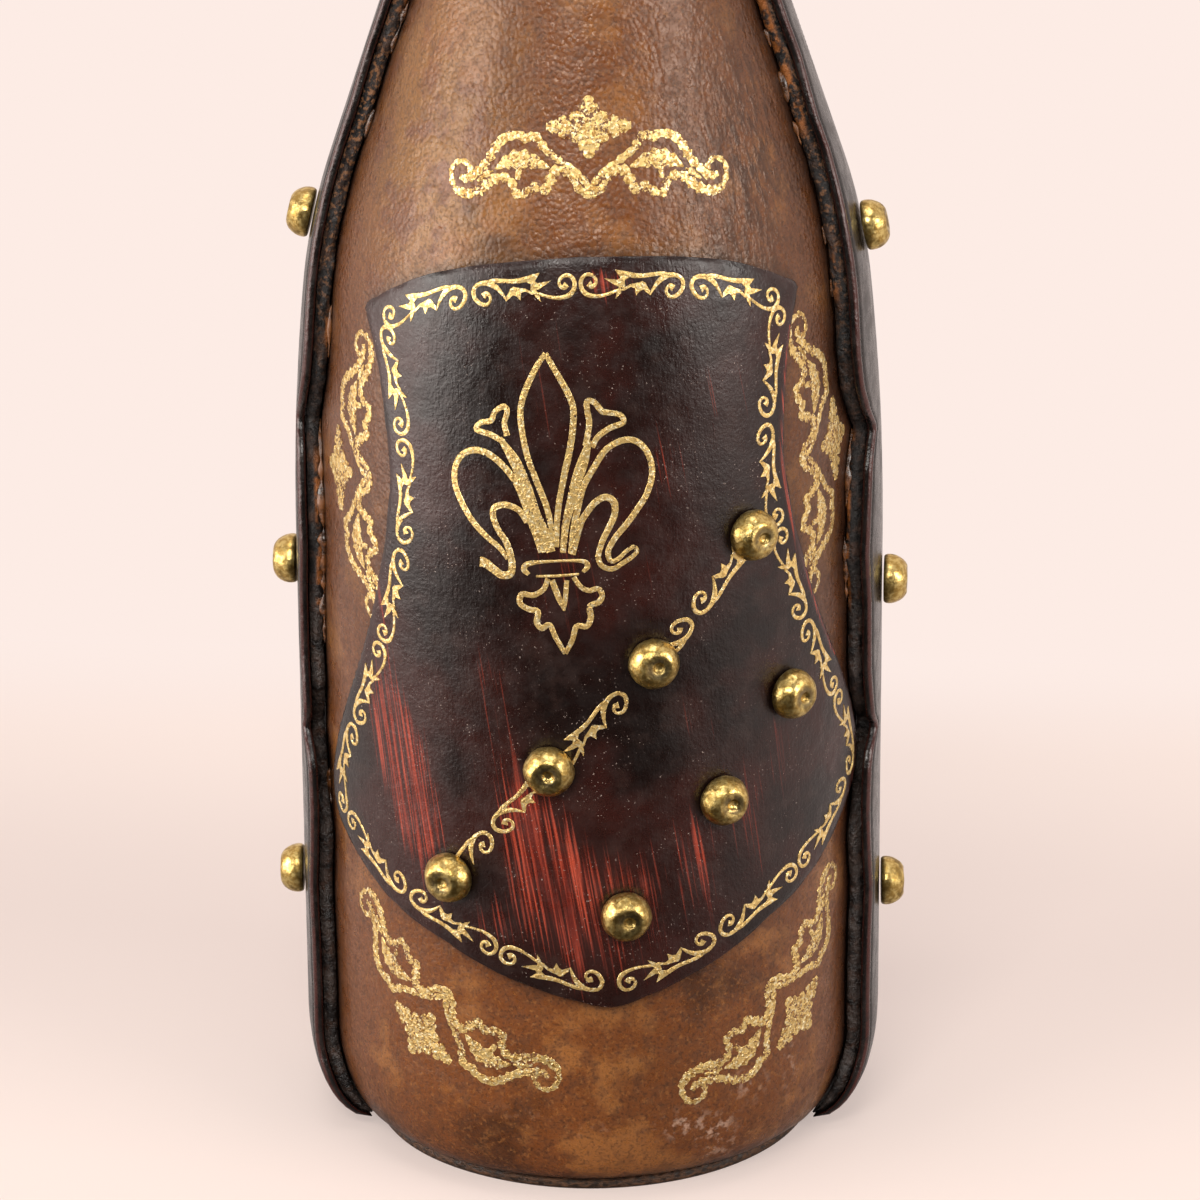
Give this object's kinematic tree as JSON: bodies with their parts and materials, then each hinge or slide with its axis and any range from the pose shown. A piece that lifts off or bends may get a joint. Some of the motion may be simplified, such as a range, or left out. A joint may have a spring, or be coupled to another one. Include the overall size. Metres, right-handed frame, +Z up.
{
  "type": "leather-covered carafe",
  "caption": "Tall glass carafe cased in brown leather, with studded black leather straps and shield, gilt tooled ornament and a leather-covered stopper.",
  "frame": {"origin": "middle of the sole's underside, on the surface that the carafe stands on", "axes": "+Z up along the bottle's axis, -Y towards the front with the shield, X through the two straps"},
  "size_m": [0.108, 0.0969, 0.3352],
  "materials": {
    "glass": "dark olive green blown glass",
    "brown_leather": "mottled waxed calf",
    "pad_leather": "rough dyed edge",
    "strap_leather": "polished black bridle leather",
    "shield_leather": "dark lacquer with red brush marks and gilt tooling",
    "sole_leather": "plain brown sole leather",
    "brass": "aged, polished on the high spots",
    "cork": "natural cork",
    "wood": "plain turned beech"
  },
  "bodies": {
    "carafe": {"glass_bottle": "glass", "front_panel": "brown_leather", "back_panel": "brown_leather", "left_strap_pad": "pad_leather", "right_strap_pad": "pad_leather", "left_strap": "strap_leather", "right_strap": "strap_leather", "shield": "shield_leather", "sole": "sole_leather", "neck_collar": "strap_leather", "shield_stud_1": "brass", "shield_stud_2": "brass", "shield_stud_3": "brass", "shield_stud_4": "brass", "shield_stud_5": "brass", "shield_stud_6": "brass", "shield_stud_7": "brass", "left_strap_stud_1": "brass", "left_strap_stud_2": "brass", "left_strap_stud_3": "brass", "right_strap_stud_1": "brass", "right_strap_stud_2": "brass", "right_strap_stud_3": "brass"},
    "stopper": {"stopper_cork": "cork", "stopper_dowel": "wood", "stopper_washer": "strap_leather", "stopper_core": "wood", "stopper_cover": "brown_leather", "stopper_stud": "brass"}
  },
  "joints": [
    {"name": "stopper_lift", "type": "slide", "parent": "carafe", "child": "stopper", "axis": [0, 0, 1], "range_m": [0, 0.06]}
  ]
}
